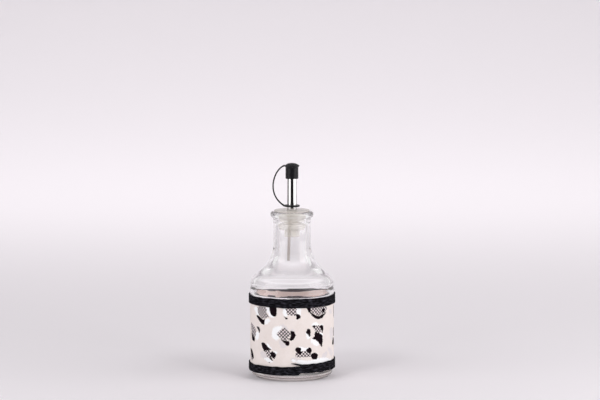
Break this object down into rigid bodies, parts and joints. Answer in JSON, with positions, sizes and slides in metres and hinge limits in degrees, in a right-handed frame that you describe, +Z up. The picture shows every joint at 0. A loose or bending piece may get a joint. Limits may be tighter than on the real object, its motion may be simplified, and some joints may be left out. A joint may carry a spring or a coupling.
{
  "type": "oil and vinegar cruet with pouring stopper",
  "caption": "Squat clear glass cruet with a push-in pouring stopper, upright steel spout, tethered soft cap, printed sleeve and black twine trims.",
  "frame": {"origin": "centre of the base, on the plane that the foot ring stands on", "axes": "+Z up along the bottle's axis, -Y towards the viewer of the picture, strap at -X"},
  "size_m": [0.0748, 0.0748, 0.1824],
  "materials": {
    "clear_glass": "clear polished soda glass",
    "printed_cloth": "matte cream sleeve with a black, grey and silver animal print",
    "black_twine": "matte twisted twine",
    "milky_plastic": "translucent soft plastic",
    "polished_steel": "polished stainless steel",
    "drawn_steel": "drawn stainless tube",
    "black_rubber": "soft black moulding, satin"
  },
  "bodies": {
    "bottle": {"glass_bottle": "clear_glass", "printed_sleeve": "printed_cloth", "upper_twine": "black_twine", "lower_twine": "black_twine"},
    "stopper": {"stopper_plug": "milky_plastic", "pour_spout": "polished_steel", "air_tube": "drawn_steel"},
    "tether": {"tether_ring": "black_rubber", "tether_strap": "black_rubber"},
    "cap": {"dust_cap": "black_rubber"}
  },
  "joints": [
    {"name": "stopper_lift", "type": "slide", "parent": "bottle", "child": "stopper", "axis": [0, 0, 1], "range_m": [0, 0.045]},
    {"name": "tether_turn", "type": "hinge", "parent": "stopper", "child": "tether", "pos_m": [0, 0, 0.1459], "axis": [0, 0, 1], "continuous": true},
    {"name": "cap_lift", "type": "slide", "parent": "tether", "child": "cap", "axis": [0, 0, 1], "range_m": [0, 0.01], "deforming": ["tether_strap"]}
  ]
}
